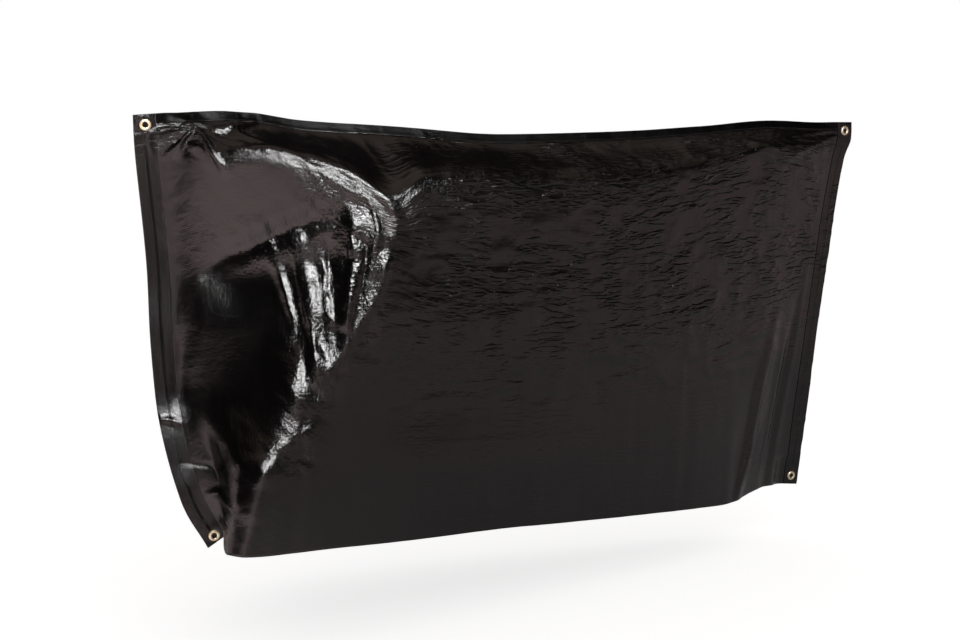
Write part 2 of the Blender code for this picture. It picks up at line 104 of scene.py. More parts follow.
# The near panel's outer face: lines from front to rear, with a row for each section that shapes it.
NEAR_LINES = {
    "top": [
        (0.000, -0.976, -0.030, 0.086),
        (0.050, -0.878, -0.030, 0.092),
        (0.085, -0.812, -0.018, 0.094),
        (0.140, -0.702, -0.006, 0.090),
        (0.200, -0.584, 0.000, 0.074),
        (0.320, -0.345, 0.000, 0.058),
        (0.460, -0.070, 0.000, 0.038),
        (0.600, 0.212, 0.000, 0.042),
        (0.750, 0.512, 0.000, 0.054),
        (0.865, 0.735, 0.000, 0.068),
        (0.940, 0.885, 0.000, 0.064),
        (1.000, 1.003, 0.000, 0.063),
    ],
    "shoulder": [
        (0.000, -0.973, -0.032, 0.000),
        (0.025, -0.924, -0.034, 0.002),
        (0.055, -0.870, -0.048, 0.020),
        (0.075, -0.845, -0.066, 0.030),
        (0.100, -0.800, -0.105, -0.004),
        (0.150, -0.710, -0.140, -0.006),
        (0.200, -0.615, -0.165, -0.016),
        (0.250, -0.520, -0.190, -0.049),
        (0.290, -0.440, -0.225, -0.100),
        (0.330, -0.352, -0.205, -0.064),
        (0.400, -0.208, -0.185, -0.066),
        (0.500, 0.010, -0.155, -0.078),
        (0.600, 0.196, -0.135, -0.078),
        (0.730, 0.449, -0.100, -0.053),
        (0.810, 0.592, -0.075, -0.033),
        (0.880, 0.730, -0.058, -0.022),
        (0.925, 0.832, -0.034, -0.034),
        (0.975, 0.938, -0.006, -0.050),
        (1.000, 0.984, 0.000, -0.050),
    ],
    "chest": [
        (0.000, -0.961, -0.060, -0.260),
        (0.025, -0.911, -0.060, -0.260),
        (0.060, -0.850, -0.078, -0.250),
        (0.085, -0.805, -0.094, -0.244),
        (0.120, -0.745, -0.127, -0.240),
        (0.200, -0.600, -0.194, -0.230),
        (0.275, -0.463, -0.243, -0.222),
        (0.340, -0.345, -0.225, -0.260),
        (0.460, -0.110, -0.195, -0.280),
        (0.600, 0.160, -0.155, -0.290),
        (0.750, 0.450, -0.105, -0.280),
        (0.880, 0.705, -0.050, -0.270),
        (0.975, 0.900, -0.005, -0.270),
        (1.000, 0.948, 0.000, -0.270),
    ],
    "girth": [
        (0.000, -0.965, -0.090, -0.408),
        (0.025, -0.915, -0.090, -0.405),
        (0.060, -0.852, -0.117, -0.398),
        (0.120, -0.748, -0.168, -0.383),
        (0.185, -0.646, -0.228, -0.372),
        (0.240, -0.556, -0.265, -0.370),
        (0.275, -0.490, -0.268, -0.378),
        (0.350, -0.345, -0.244, -0.400),
        (0.470, -0.105, -0.208, -0.418),
        (0.600, 0.145, -0.167, -0.430),
        (0.750, 0.436, -0.112, -0.425),
        (0.880, 0.688, -0.054, -0.415),
        (0.975, 0.884, -0.003, -0.410),
        (1.000, 0.930, 0.002, -0.408),
    ],
    "waist": [
        (0.000, -0.962, -0.120, -0.550),
        (0.025, -0.912, -0.120, -0.545),
        (0.070, -0.850, -0.150, -0.530),
        (0.120, -0.780, -0.200, -0.520),
        (0.180, -0.695, -0.290, -0.515),
        (0.230, -0.600, -0.292, -0.525),
        (0.340, -0.385, -0.255, -0.545),
        (0.460, -0.150, -0.220, -0.560),
        (0.600, 0.120, -0.175, -0.570),
        (0.750, 0.410, -0.120, -0.570),
        (0.880, 0.665, -0.060, -0.560),
        (0.975, 0.868, 0.000, -0.550),
        (1.000, 0.914, 0.005, -0.545),
    ],
    "low": [
        (0.000, -0.931, -0.187, -0.745),
        (0.025, -0.887, -0.184, -0.722),
        (0.050, -0.848, -0.196, -0.705),
        (0.075, -0.846, -0.245, -0.695),
        (0.105, -0.833, -0.305, -0.687),
        (0.135, -0.785, -0.338, -0.680),
        (0.180, -0.700, -0.325, -0.690),
        (0.340, -0.410, -0.280, -0.720),
        (0.600, 0.100, -0.190, -0.760),
        (0.820, 0.540, -0.095, -0.780),
        (0.900, 0.690, -0.040, -0.770),
        (0.975, 0.846, 0.010, -0.760),
        (1.000, 0.894, 0.012, -0.760),
    ],
    "hem": [
        (0.000, -0.877, -0.200, -0.857),
        (0.025, -0.836, -0.203, -0.834),
        (0.034, -0.824, -0.212, -0.828),
        (0.046, -0.834, -0.235, -0.826),
        (0.070, -0.860, -0.270, -0.829),
        (0.098, -0.869, -0.322, -0.838),
        (0.112, -0.862, -0.346, -0.836),
        (0.126, -0.838, -0.360, -0.839),
        (0.150, -0.788, -0.350, -0.846),
        (0.224, -0.636, -0.320, -0.857),
        (0.315, -0.459, -0.290, -0.871),
        (0.456, -0.184, -0.240, -0.888),
        (0.555, 0.007, -0.205, -0.905),
        (0.647, 0.186, -0.170, -0.921),
        (0.787, 0.458, -0.120, -0.942),
        (0.845, 0.570, -0.090, -0.950),
        (0.928, 0.731, -0.020, -0.939),
        (0.964, 0.803, 0.002, -0.945),
        (1.000, 0.872, 0.020, -0.953),
    ],
}

# The far panel's outer face, which hangs more plainly over the far ends of the handlebar and the wheel.
# Each line starts and ends where the near panel's does.
FAR_INNER = {
    "shoulder": [
        (0.050, -0.880, 0.027, 0.022),
        (0.090, -0.815, 0.088, 0.020),
        (0.160, -0.680, 0.100, -0.012),
        (0.300, -0.405, 0.106, -0.040),
        (0.500, -0.002, 0.115, -0.060),
        (0.600, 0.200, 0.125, -0.066),
        (0.730, 0.455, 0.095, -0.050),
        (0.880, 0.745, 0.043, -0.040),
    ],
    "chest": [
        (0.050, -0.872, -0.002, -0.245),
        (0.100, -0.785, 0.082, -0.225),
        (0.180, -0.640, 0.132, -0.230),
        (0.340, -0.325, 0.135, -0.255),
        (0.600, 0.180, 0.145, -0.275),
        (0.750, 0.470, 0.107, -0.275),
        (0.880, 0.722, 0.057, -0.270),
    ],
    "waist": [
        (0.050, -0.880, -0.074, -0.540),
        (0.110, -0.810, 0.027, -0.527),
        (0.190, -0.690, 0.129, -0.522),
        (0.300, -0.475, 0.152, -0.530),
        (0.480, -0.115, 0.167, -0.550),
        (0.620, 0.165, 0.147, -0.560),
        (0.800, 0.520, 0.095, -0.560),
    ],
    "low": [
        (0.050, -0.834, -0.152, -0.710),
        (0.120, -0.788, -0.020, -0.695),
        (0.190, -0.722, 0.106, -0.698),
        (0.250, -0.618, 0.162, -0.707),
        (0.330, -0.461, 0.173, -0.722),
        (0.480, -0.164, 0.169, -0.745),
        (0.620, 0.115, 0.147, -0.765),
        (0.820, 0.530, 0.085, -0.780),
    ],
    "hem": [
        (0.025, -0.836, -0.203, -0.836),
        (0.040, -0.806, -0.178, -0.838),
        (0.060, -0.796, -0.148, -0.840),
        (0.120, -0.768, -0.028, -0.842),
        (0.190, -0.728, 0.110, -0.850),
        (0.240, -0.660, 0.172, -0.858),
        (0.300, -0.545, 0.188, -0.866),
        (0.400, -0.348, 0.165, -0.882),
        (0.500, -0.152, 0.176, -0.898),
        (0.640, 0.130, 0.132, -0.920),
        (0.780, 0.415, 0.106, -0.942),
        (0.900, 0.665, 0.044, -0.944),
    ],
}
FAR_LINES = {
    "top": NEAR_LINES["top"],
    **{name: [NEAR_LINES[name][0], *rows, NEAR_LINES[name][-1]] for name, rows in FAR_INNER.items()},
}

# Share of the height at which each line runs. The fin is the lower edge of the top band.
DOWN_OF_LINE = {
    "top": 0.0,
    "fin": TOP_SHARE,
    "shoulder": 0.17,
    "chest": 0.36,
    "girth": 0.485,
    "waist": 0.61,
    "low": 0.80,
    "hem": 1.0,
}

# Share at which the far panel has left the seams and follows its own lines.
FAR_FREE_ALONG = 0.035
FAR_FREE_DOWN = 0.04

EYELET_PLACES = {
    "front_top": (EYELET_INSET / COVER_LENGTH, EYELET_INSET / COVER_HEIGHT),
    "front_low": (EYELET_INSET / COVER_LENGTH, 1 - EYELET_INSET / COVER_HEIGHT),
    "rear_top": (1 - EYELET_INSET / COVER_LENGTH, EYELET_INSET / COVER_HEIGHT),
    "rear_low": (1 - EYELET_INSET / COVER_LENGTH, 1 - EYELET_INSET / COVER_HEIGHT),
}


class CrestForm(Enum):
    """The cross-section of a fold."""

    SOFT = "soft"
    SHARP = "sharp"


SHARP = CrestForm.SHARP


@dataclass(frozen=True)
class Crease:
    """One fold of the cloth: a line of places, half its width and its height in metres."""

    path: tuple[Place, ...]
    half_width: float
    height: float
    form: CrestForm = CrestForm.SOFT


@dataclass(frozen=True)
class Patch:
    """A soft-edged oval of the cloth: its centre, its two reaches as shares, and its strength."""

    centre: Place
    reach: Place
    strength: float = 1.0


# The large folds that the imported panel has: start, end, half width and height.
PANEL_FOLDS = (
    Crease(((0.170, 0.30), (0.204, 0.60)), 0.028, 0.010),
    Crease(((0.240, 0.25), (0.231, 0.54)), 0.024, 0.009),
    Crease(((0.205, 0.30), (0.220, 0.52)), 0.018, -0.006),
    Crease(((0.140, 0.32), (0.168, 0.50)), 0.020, 0.005),
    Crease(((0.045, 0.20), (0.075, 0.07)), 0.016, 0.007),
    Crease(((0.072, 0.07), (0.101, 0.21)), 0.016, 0.006),
    Crease(((0.050, 0.37), (0.250, 0.26)), 0.034, -0.008),
    Crease(((0.916, 0.50), (0.858, 1.06)), 0.030, 0.012),
    Crease(((0.955, 0.46), (0.925, 1.06)), 0.028, -0.008),
)

# Finer folds and creases of the near panel.
NEAR_CREASES = (
    # The crest round the handlebar's end, down the ridge to the wheel's edge.
    Crease(((0.205, 0.150), (0.245, 0.166), (0.280, 0.180), (0.292, 0.245), (0.278, 0.350)), 0.026, 0.005),
    Crease(((0.278, 0.330), (0.265, 0.430), (0.232, 0.530), (0.190, 0.610)), 0.020, 0.004),
    Crease(((0.200, 0.590), (0.175, 0.685), (0.147, 0.755), (0.120, 0.830), (0.114, 0.930)), 0.012, 0.0008),
    # Upright folds over the handlebar and the front of the wheel.
    Crease(((0.165, 0.310), (0.172, 0.390), (0.184, 0.473), (0.204, 0.570)), 0.013, 0.005, SHARP),
    Crease(((0.238, 0.285), (0.231, 0.400), (0.232, 0.510)), 0.014, 0.006, SHARP),
    Crease(((0.258, 0.200), (0.266, 0.280), (0.252, 0.400)), 0.013, 0.004, SHARP),
    Crease(((0.212, 0.300), (0.206, 0.400), (0.216, 0.470)), 0.010, -0.004, SHARP),
    Crease(((0.148, 0.350), (0.160, 0.440), (0.170, 0.500)), 0.012, 0.003, SHARP),
    Crease(((0.255, 0.300), (0.247, 0.380), (0.243, 0.460)), 0.012, -0.004, SHARP),
    # The crumpled front top corner, where the cloth is drawn to the eyelet.
    Crease(((0.030, 0.190), (0.052, 0.156), (0.072, 0.098)), 0.016, 0.006, SHARP),
    Crease(((0.072, 0.098), (0.086, 0.160), (0.108, 0.215)), 0.016, 0.006, SHARP),
    Crease(((0.024, 0.040), (0.050, 0.060), (0.072, 0.098)), 0.012, 0.004, SHARP),
    Crease(((0.016, 0.062), (0.048, 0.054), (0.086, 0.030)), 0.026, 0.0055, SHARP),
    Crease(((0.086, 0.070), (0.112, 0.052), (0.146, 0.022)), 0.024, 0.011, SHARP),
    Crease(((0.026, 0.030), (0.058, 0.050), (0.140, 0.110)), 0.014, -0.004, SHARP),
    Crease(((0.100, 0.050), (0.135, 0.090), (0.160, 0.130)), 0.014, 0.004, SHARP),
    Crease(((0.106, 0.150), (0.135, 0.138), (0.210, 0.146)), 0.026, 0.008),
    Crease(((0.080, 0.085), (0.115, 0.120), (0.150, 0.150)), 0.014, -0.004, SHARP),
    Crease(((0.018, 0.035), (0.016, 0.110), (0.020, 0.180)), 0.012, 0.003, SHARP),
    # The upper arc of the hollow behind the handlebar, and its front edge down to the hem.
    Crease(((0.060, 0.385), (0.085, 0.350), (0.122, 0.332), (0.168, 0.305), (0.225, 0.290)), 0.016, -0.003),
    Crease(((0.058, 0.400), (0.042, 0.485), (0.030, 0.560), (0.022, 0.630)), 0.030, -0.003),
    Crease(((-0.040, 0.655), (0.030, 0.660), (0.100, 0.680)), 0.090, 0.006),
    Crease(((0.000, 0.633), (0.012, 0.640), (0.024, 0.655)), 0.012, 0.004, SHARP),
    Crease(((0.010, 0.720), (0.046, 0.770), (0.052, 0.850)), 0.014, -0.0025, SHARP),
    Crease(((0.028, 0.830), (0.062, 0.855), (0.106, 0.880)), 0.024, 0.008, SHARP),
    Crease(((0.060, 0.880), (0.078, 0.910), (0.102, 0.930)), 0.010, 0.004, SHARP),
    # Rear end: the folds that hang from the wheel, and the crumple near the top corner.
    Crease(((0.913, 0.540), (0.908, 0.725), (0.877, 0.878), (0.857, 1.000)), 0.018, 0.004),
    Crease(((0.938, 0.560), (0.930, 0.760), (0.915, 0.960)), 0.016, 0.004),
    Crease(((0.962, 0.380), (0.956, 0.600), (0.945, 0.900)), 0.014, 0.003),
    Crease(((0.800, 0.060), (0.840, 0.110), (0.900, 0.190)), 0.022, 0.004),
    Crease(((0.972, 0.040), (0.930, 0.110), (0.880, 0.220)), 0.018, 0.004),
    Crease(((0.974, 0.030), (0.920, 0.060), (0.860, 0.080)), 0.016, -0.003),
    Crease(((0.780, 0.150), (0.870, 0.130), (0.965, 0.110)), 0.050, 0.006),
    # Creases that packing left.
    Crease(((0.560, 0.418), (0.680, 0.436), (0.800, 0.455)), 0.008, 0.0012, SHARP),
    Crease(((0.520, 0.200), (0.523, 0.500), (0.520, 0.900)), 0.007, 0.0010, SHARP),
    Crease(((0.740, 0.220), (0.742, 0.600), (0.739, 0.960)), 0.007, 0.0010, SHARP),
    Crease(((0.300, 0.720), (0.500, 0.727), (0.720, 0.722)), 0.007, 0.0010, SHARP),
)

FAR_CREASES = (
    Crease(((0.150, 0.200), (0.165, 0.420), (0.190, 0.700), (0.185, 0.980)), 0.028, 0.008),
    Crease(((0.255, 0.240), (0.262, 0.480), (0.285, 0.760), (0.300, 1.000)), 0.026, 0.007),
    Crease(((0.340, 0.300), (0.352, 0.560), (0.400, 0.990)), 0.028, -0.007),
    Crease(((0.470, 0.250), (0.485, 0.600), (0.500, 1.000)), 0.030, 0.006),
    Crease(((0.620, 0.200), (0.628, 0.500), (0.640, 1.000)), 0.026, -0.006),
    Crease(((0.760, 0.260), (0.770, 0.640), (0.782, 1.000)), 0.028, 0.007),
    Crease(((0.880, 0.240), (0.886, 0.620), (0.900, 1.000)), 0.024, 0.007),
    Crease(((0.040, 0.080), (0.090, 0.160), (0.150, 0.260)), 0.018, 0.006, SHARP),
    Crease(((0.040, 0.050), (0.110, 0.090), (0.220, 0.140)), 0.018, -0.005, SHARP),
    Crease(((0.045, 0.700), (0.100, 0.620), (0.170, 0.580)), 0.020, 0.005, SHARP),
    Crease(((0.930, 0.080), (0.880, 0.140), (0.800, 0.200)), 0.018, 0.005, SHARP),
    Crease(((0.560, 0.430), (0.680, 0.440), (0.800, 0.450)), 0.008, 0.0012, SHARP),
)

# Where the near panel is crumpled, and how strongly.
CRUMPLED = (
    Patch((0.085, 0.090), (0.090, 0.130)),
    Patch((0.200, 0.150), (0.070, 0.060), 0.7),
    Patch((0.235, 0.330), (0.060, 0.230)),
    Patch((0.190, 0.520), (0.050, 0.160), 0.8),
    Patch((0.130, 0.760), (0.060, 0.150), 0.35),
    Patch((0.168, 0.700), (0.040, 0.120), 0.9),
    Patch((0.100, 0.280), (0.120, 0.180), 0.16),
    Patch((0.145, 0.330), (0.085, 0.055), 0.8),
    Patch((0.080, 0.900), (0.060, 0.080), 0.4),
    Patch((0.900, 0.120), (0.080, 0.120), 0.5),
    Patch((0.330, 0.200), (0.060, 0.060), 0.6),
)


def smoothstep(value: Array) -> Array:
    """The S-shaped rise from 0 to 1, three times the square less twice the cube."""
    value = np.clip(value, 0, 1)
    return value * value * (3 - 2 * value)


def smooth_through(knots: Sequence[float] | Array, values: Array, at: Array) -> Array:
    """Monotone cubic through values at knots: each slope is the harmonic mean of its two neighbours.

    Args:
        knots: Places of the values, rising.
        values: One row for each knot.
        at: Places to read.

    Returns:
        One row for each place in at.
    """
    knots = np.asarray(knots, float)
    values = np.asarray(values, float)
    column = (-1, *[1] * (values.ndim - 1))
    step = np.diff(knots)
    slope = np.diff(values, axis=0) / step.reshape(column)
    before, after = slope[:-1], slope[1:]
    same_way = before * after > 0
    mean = np.where(same_way, 2 * before * after / np.where(same_way, before + after, 1), 0)
    tangent = np.concatenate([slope[:1], mean, slope[-1:]])
    at = np.clip(np.asarray(at, float), knots[0], knots[-1])
    cell = np.clip(np.searchsorted(knots, at, side="right") - 1, 0, len(step) - 1)
    width = step[cell].reshape(column)
    t = ((at - knots[cell]) / step[cell]).reshape(column)
    start = values[cell] * (1 + 2 * t) * (1 - t) ** 2 + tangent[cell] * width * t * (1 - t) ** 2
    end = values[cell + 1] * t**2 * (3 - 2 * t) + tangent[cell + 1] * width * t**2 * (t - 1)
    return start + end


def loft(lines: dict[str, list], along: Array, down: Array) -> Array:
    """The smooth surface through these lines: cubics along each line, then down across the lines.

    Args:
        lines: Rows of (along, x, y, z) for each named line.
        along: Shares along the cover.
        down: Shares down the cover.

    Returns:
        len(along) x len(down) points.
    """
    found = {}
    for name, rows in lines.items():
        table = np.array(rows, dtype=COLUMNS)
        places = np.stack([table["x"], table["y"], table["z"]], axis=1)
        found[name] = smooth_through(table["along"], places, along)
    found["fin"] = found["top"] + TOP_BAND * np.array([0, -np.sin(TOP_LEAN), -np.cos(TOP_LEAN)])
    names = sorted(found, key=DOWN_OF_LINE.get)
    knots = [DOWN_OF_LINE[name] for name in names]
    return smooth_through(knots, np.stack([found[name] for name in names]), down).transpose(1, 0, 2)


def inward_normals(surface: Surface, along: Array, down: Array) -> Array:
    """Unit normals at each grid point, pointing to the far side: the cross product of both slopes."""
    along = np.clip(along, NORMAL_STEP, 1 - NORMAL_STEP)
    down = np.clip(down, NORMAL_STEP, 1 - NORMAL_STEP)
    across = surface(along + NORMAL_STEP, down) - surface(along - NORMAL_STEP, down)
    downward = surface(along, down + NORMAL_STEP) - surface(along, down - NORMAL_STEP)
    normal = np.cross(across, downward)
    return normal / np.linalg.norm(normal, axis=2, keepdims=True)


def flat_places(along: Array, down: Array) -> Array:
    """The grid's places on the flat cloth, in metres: share times length, and share times height."""
    return np.stack(np.meshgrid(along * COVER_LENGTH, down * COVER_HEIGHT, indexing="ij"), axis=-1)


class Crumple:
    """Seeded relief patterns on the flat cloth, in metres of cloth, each from -1 to 1."""

    layers = 8
    side = 64

    def __init__(self, seed: int) -> None:
        """Draws the random lattices that every pattern reads."""
        rng = np.random.default_rng(seed)
        self.lattices = rng.uniform(-1, 1, (self.layers, self.side, self.side))

    def corners(self, place: Array, cell: Place, layer: int) -> tuple[Array, ...]:
        """The four lattice values round each place, and its two shares across the cell."""
        scaled = place / np.array(cell)
        whole = np.floor(scaled).astype(int)
        share = scaled - whole
        i, j = whole[..., 0] % self.side, whole[..., 1] % self.side
        lattice = self.lattices[layer % self.layers]
        right, below = (i + 1) % self.side, (j + 1) % self.side
        corners = lattice[i, j], lattice[right, j], lattice[i, below], lattice[right, below]
        return *corners, share[..., 0], share[..., 1]

    def soft(self, place: Array, cell: Place, layer: int) -> Array:
        """Rolling noise: lattice values joined by an S-shaped blend both ways."""
        a, b, c, d, s, t = self.corners(place, cell, layer)
        s, t = smoothstep(s), smoothstep(t)
        return (a + (b - a) * s) * (1 - t) + (c + (d - c) * s) * t

    def ridged(self, place: Array, cell: Place, layer: int) -> Array:
        """Sharp wrinkles: one less twice the size of the rolling noise."""
        return 1 - 2 * np.abs(self.soft(place, cell, layer)) ** 0.8

    def facets(self, place: Array, cell: Place, layer: int) -> Array:
        """Flat facets with sharp creases: heights joined by planes over bent triangles."""
        bend = np.stack([self.soft(place, cell, layer + step) for step in (1, 2)], axis=-1)
        a, b, c, d, s, t = self.corners(place + bend * np.array(cell) * 0.45, cell, layer)
        lower = a + (b - a) * s + (d - b) * t
        upper = a + (c - a) * t + (d - c) * s
        return np.where(s > t, lower, upper)


def fold_height(fold: Crease, place: Array) -> Array:
    """How far one fold stands out: its crest's form across it, dying away at both ends.

    Args:
        fold: The fold, whose line of places is smoothed and cut into short runs.
        place: Places on the flat cloth, in metres.

    Returns:
        Heights in metres, the crest's form of the distance aside times the sine of the share run.
    """
    knots = np.linspace(0, 1, len(fold.path))
    fine = np.linspace(0, 1, 2 if len(fold.path) == 2 else 13)
    line = smooth_through(knots, np.array(fold.path) * [COVER_LENGTH, COVER_HEIGHT], fine)
    nearest = np.full(place.shape[:-1], np.inf)
    share = np.zeros_like(nearest)
    for number, (start, end) in enumerate(zip(line[:-1], line[1:])):
        run = np.linalg.norm(end - start)
        along_run = np.clip((place - start) @ (end - start) / run**2, 0, 1)
        off = place - start - along_run[..., None] * (end - start)
        distance = np.linalg.norm(off, axis=-1)
        closer = distance < nearest
        nearest = np.where(closer, distance, nearest)
        share = np.where(closer, (number + along_run) / (len(line) - 1), share)
    off_crest = np.clip(nearest / fold.half_width, 0, 1)
    if fold.form is CrestForm.SHARP:
        crest = (1 - off_crest) ** 1.5
    else:
        crest = np.cos(np.pi / 2 * off_crest) ** 2
    return fold.height * crest * np.sin(np.pi * share) ** 0.7


def patch_mask(patches: Sequence[Patch], along: Array, down: Array) -> Array:
    """The strongest of the patches at each place: one less the squared distance in reaches, eased."""
    total = np.zeros((len(along), len(down)))
    for patch in patches:
        over = (along - patch.centre[0])[:, None] / patch.reach[0]
        under = (down - patch.centre[1])[None, :] / patch.reach[1]
        total = np.maximum(total, patch.strength * smoothstep(1.3 - np.sqrt(over**2 + under**2)))
    return total


def between(value: Array, low: float, high: float, ease: float) -> Array:
    """One between low and high, falling to 0 within ease outside them."""
    return smoothstep((value - low) / ease + 1) * smoothstep((high - value) / ease + 1)


@dataclass
class DrapedCloth:
    """The cover's two faces as smooth surfaces, with the folds and the crumple that the film takes."""

    near_crumple: Crumple = field(default_factory=lambda: Crumple(11))
    far_crumple: Crumple = field(default_factory=lambda: Crumple(29))

    def near_hang(self, along: Array, down: Array) -> Array:
        """The near face through its lines alone."""
        return loft(NEAR_LINES, along, down)

    def calm(self, along: Array, down: Array) -> Array:
        """Nought at each eyelet, where the metal keeps the cloth flat, rising to 1 around it."""
        place = flat_places(along, down)
        result = np.ones(place.shape[:-1])
        for where in EYELET_PLACES.values():
            away = np.linalg.norm(place - np.array(where) * [COVER_LENGTH, COVER_HEIGHT], axis=-1)
            result = result * smoothstep((away - 0.014) / 0.020)
        return result

    def near_base(self, along: Array, down: Array) -> Array:
        """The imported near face: its hang, the large folds, and flat and upright around each eyelet."""
        place = flat_places(along, down)
        folds = np.zeros(place.shape[:-1])
        for fold in PANEL_FOLDS:
            start, end = (np.array(spot) * [COVER_LENGTH, COVER_HEIGHT] for spot in fold.path)
            run = np.linalg.norm(end - start)
            way = (end - start) / run
            share = (place - start) @ way / run
            aside = (place - start) @ np.array([-way[1], way[0]])
            crest = np.cos(np.pi / 2 * np.clip(aside / fold.half_width, -1, 1)) ** 2
            folds += fold.height * crest * np.sin(np.pi * np.clip(share, 0, 1))
        points = self.near_hang(along, down)
        points -= folds[..., None] * inward_normals(self.near_hang, along, down)
        for place_along, place_down in EYELET_PLACES.values():
            centre = self.near_hang(np.array([place_along]), np.array([place_down]))[0, 0]
            from_end = np.abs(along - round(place_along)) / END_SHARE
            from_edge = np.abs(down - round(place_down)) / FLAT_SHARE
            flat = smoothstep(2.2 - from_end)[:, None] * smoothstep(2.2 - from_edge)[None, :]
            points[..., 1] += flat * (centre[1] - points[..., 1])
        return points

    def near_relief(self, along: Array, down: Array) -> Array:
        """Height of the near face's fine folds and crumple, in metres, added up layer by layer."""
        place = flat_places(along, down)
        noise = self.near_crumple
        crumpled = patch_mask(CRUMPLED, along, down)
        body = between(along, 0.30, 0.90, 0.08)[:, None] * between(down, 0.16, 0.60, 0.10)[None, :]
        total = sum(fold_height(fold, place) for fold in NEAR_CREASES)
        total += 0.0022 * noise.soft(place, (0.26, 0.22), 0) + 0.0011 * noise.soft(place, (0.11, 0.13), 1)
        total += crumpled * 0.0048 * noise.facets(place, (0.060, 0.052), 2)
        total += crumpled * 0.0028 * noise.facets(place, (0.027, 0.024), 5)
        slant = place @ np.array([[1.0, 0.08], [0.0, 1.0]])
        broken = 0.5 + 0.5 * noise.soft(place, (0.07, 0.16), 3)
        total += body * (0.4 + broken) * 0.0014 * noise.ridged(slant, (0.085, 0.028), 4)
        total += body * 0.0008 * noise.ridged(slant, (0.050, 0.0165), 6)
        under_top = np.exp(-(((down - 0.075) / 0.055) ** 2))[None, :]
        under_top = under_top * between(along, 0.22, 0.95, 0.05)[:, None]
        diagonal = place @ np.array([[1.0, 0.5], [-0.6, 1.0]])
        total += under_top * 0.0016 * noise.ridged(diagonal, (0.045, 0.12), 6)
        at_front = np.exp(-((along / 0.045) ** 2)) * smoothstep((along - 0.012) / 0.02)
        at_front = at_front[:, None] * between(down, 0.22, 0.62, 0.06)[None, :]
        total += at_front * 0.0008 * noise.ridged(place, (0.09, 0.021), 7)
        at_rear = np.exp(-(((1 - along) / 0.05) ** 2))[:, None]
        total += at_rear * 0.0010 * noise.ridged(place, (0.11, 0.030), 2)
        low = between(down, 0.70, 1.1, 0.12)[None, :] * between(along, 0.15, 0.95, 0.05)[:, None]
        total += low * 0.0008 * noise.soft(place, (0.035, 0.30), 5)
        return total * self.calm(along, down)

    def near_face(self, along: Array, down: Array) -> Array:
        """The near face as it shows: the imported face, and its relief along the outward normals."""
        normals = inward_normals(self.near_base, along, down)
        return self.near_base(along, down) - self.near_relief(along, down)[..., None] * normals

    def far_relief(self, along: Array, down: Array) -> Array:
        """Height of the far face's folds and crumple, in metres."""
        place = flat_places(along, down)
        noise = self.far_crumple
        total = sum(fold_height(fold, place) for fold in FAR_CREASES)
        total += 0.0026 * noise.soft(place, (0.24, 0.24), 0) + 0.0014 * noise.soft(place, (0.10, 0.12), 1)
        front = smoothstep((0.36 - along) / 0.15)[:, None] * np.ones((1, len(down)))
        total += (0.2 + 0.8 * front) * 0.0030 * noise.facets(place, (0.070, 0.060), 2)
        broken = 0.5 + 0.5 * noise.soft(place, (0.07, 0.16), 3)
        total += broken * 0.0008 * noise.ridged(place, (0.085, 0.026), 4)
        return total

    def far_face(self, along: Array, down: Array) -> Array:
        """The far face: it leaves the seam bands' backs and goes over to its own lines and relief."""
        behind_near = self.near_face(along, down)
        behind_near = behind_near + BAND_THICKNESS * inward_normals(self.near_base, along, down)
        own = loft(FAR_LINES, along, down) + [0, BAND_THICKNESS, 0]
        outward = -inward_normals(lambda a, d: loft(FAR_LINES, a, d), along, down)
        own -= self.far_relief(along, down)[..., None] * outward
        from_end = np.minimum(along, 1 - along) - END_SHARE - HALF_GAP_ALONG
        from_top = down - TOP_SHARE - HALF_GAP_DOWN
        free = smoothstep(from_end / FAR_FREE_ALONG)[:, None] * smoothstep(from_top / FAR_FREE_DOWN)[None, :]
        return behind_near + free[..., None] * (own - behind_near)


def grid_piece(name: str, points: Array, places: Array, material: Material, near_side: bool) -> Piece:
    """A smooth sheet of square cells between the points of a grid, with the flat places as its UV map.

    Args:
        name: The piece's name.
        points: Rows x columns x 3 places in the frame.
        places: Rows x columns x 2 places on the flat cloth, in metres.
        material: Its finish.
        near_side: Whether the faces' fronts look to the near side.

    Returns:
        The new object, at the origin.
    """
    rows, columns = points.shape[:2]
    index = np.arange(rows * columns).reshape(rows, columns)
    a, b, c, d = index[:-1, :-1], index[1:, :-1], index[1:, 1:], index[:-1, 1:]
    cells = np.stack([a, d, c, b] if near_side else [a, b, c, d], axis=-1).reshape(-1, 4)
    return face_piece(name, points.reshape(-1, 3), cells, places.reshape(-1, 2), material)


def face_piece(name: str, points: Array, faces: Array, places: Array, material: Material) -> Piece:
    """A smooth-shaded mesh of four-sided faces, with one UV place for each point."""
    mesh = bpy.data.meshes.new(name)
    mesh.from_pydata(points.tolist(), [], faces.tolist())
    uv = mesh.uv_layers.new(name="cloth")
    corner = np.empty(len(mesh.loops), dtype=np.int32)
    mesh.loops.foreach_get("vertex_index", corner)
    uv.data.foreach_set("uv", places[corner].astype(np.float32).ravel())
    mesh.materials.append(material)
    mesh.shade_smooth()
    obj = bpy.data.objects.new(name, mesh)
    bpy.context.scene.collection.objects.link(obj)
    return obj


